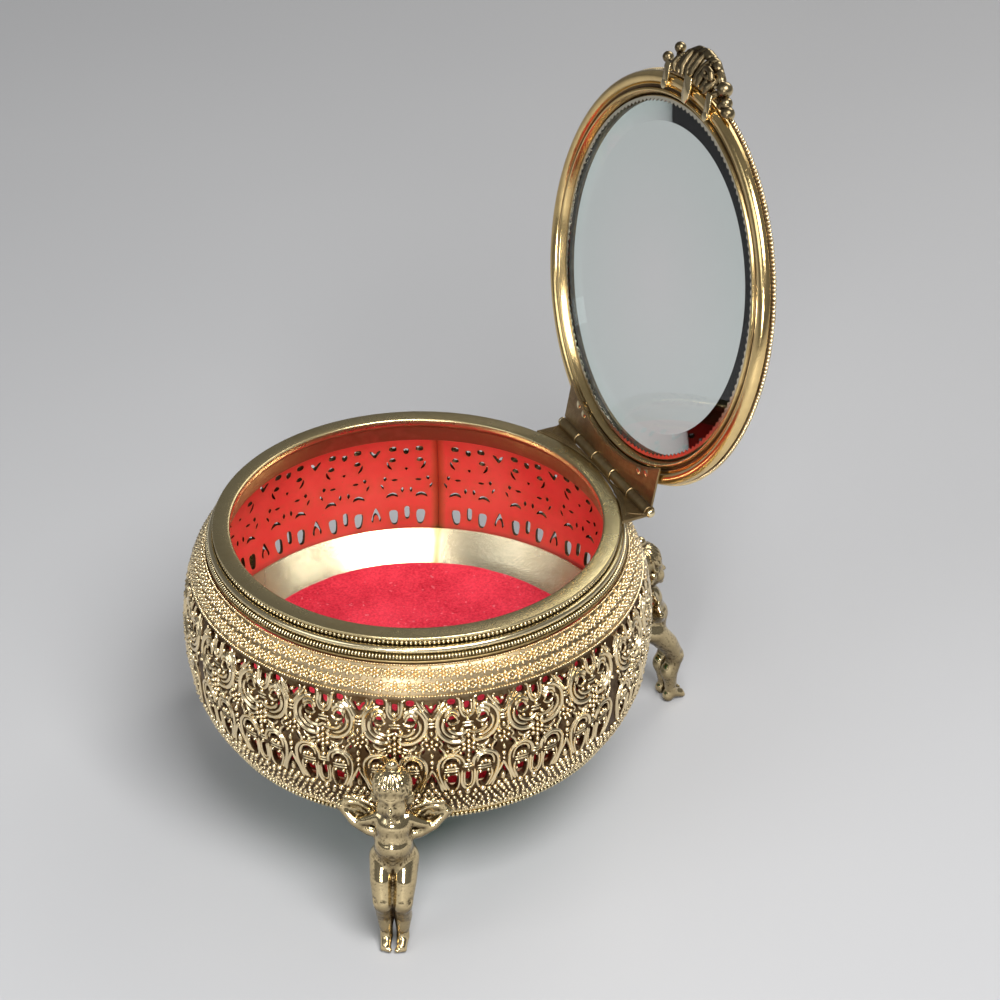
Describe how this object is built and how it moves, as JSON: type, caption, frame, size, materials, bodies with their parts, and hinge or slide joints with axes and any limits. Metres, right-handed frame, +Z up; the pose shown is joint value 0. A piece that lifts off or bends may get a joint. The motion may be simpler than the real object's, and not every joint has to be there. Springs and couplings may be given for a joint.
{
  "type": "jewelry box",
  "caption": "Round gilt filigree jewelry casket with a bevelled glass lid hinged at the back, on seated cherub feet.",
  "frame": {"origin": "on the table, under the middle of the open box's bounding box", "axes": "+Z up, +Y towards the hinge, -Y towards the front, +X to the right"},
  "size_m": [0.125, 0.1345, 0.1862],
  "materials": {
    "gilt_panel": "antique gilt outside with dark recesses, red lacquer inside",
    "gilt_ring": "polished gilt",
    "gilt_wire": "bright gilt, milled and beaded",
    "gilt_figure": "burnished gilt with brown patina in the recesses",
    "gilt_dish": "polished pale gold",
    "hinge_metal": "brown gilt",
    "glass_clear": "clear, bevelled rim, greenish edge",
    "velvet_red": "red velvet",
    "felt_green": "green felt",
    "board_plain": "plain pressed board"
  },
  "bodies": {
    "casket": {"panel_back": "gilt_panel", "panel_left": "gilt_panel", "panel_right": "gilt_panel", "rim_ring": "gilt_ring", "rim_bead_wire": "gilt_wire", "rim_half_round_wire": "gilt_wire", "rim_milled_wire": "gilt_wire", "base_ring": "gilt_ring", "base_bead_wire": "gilt_wire", "base_dish": "gilt_dish", "floor_board": "board_plain", "velvet_pad": "velvet_red", "felt_card": "board_plain", "felt_disc": "felt_green", "foot_back": "gilt_figure", "foot_left": "gilt_figure", "foot_right": "gilt_figure", "foot_screw_back": "hinge_metal", "foot_screw_left": "hinge_metal", "foot_screw_right": "hinge_metal", "hinge_box_leaf": "hinge_metal", "hinge_pin": "hinge_metal"},
    "lid": {"lid_ring": "gilt_ring", "lid_filigree_ring": "gilt_panel", "lid_bezel": "gilt_wire", "lid_glass": "glass_clear", "hinge_lid_leaf": "hinge_metal", "lid_leaf_rivet_1": "hinge_metal", "lid_leaf_rivet_2": "hinge_metal", "lid_leaf_rivet_3": "hinge_metal", "lid_leaf_rivet_4": "hinge_metal", "thumb_lift": "gilt_figure", "thumb_lift_rivet_1": "hinge_metal", "thumb_lift_rivet_2": "hinge_metal"}
  },
  "joints": [
    {"name": "lid_hinge", "type": "hinge", "parent": "casket", "child": "lid", "pos_m": [0, 0.042, 0.07813], "axis": [1, 0, 0], "range_deg": [0, 100.6]}
  ]
}
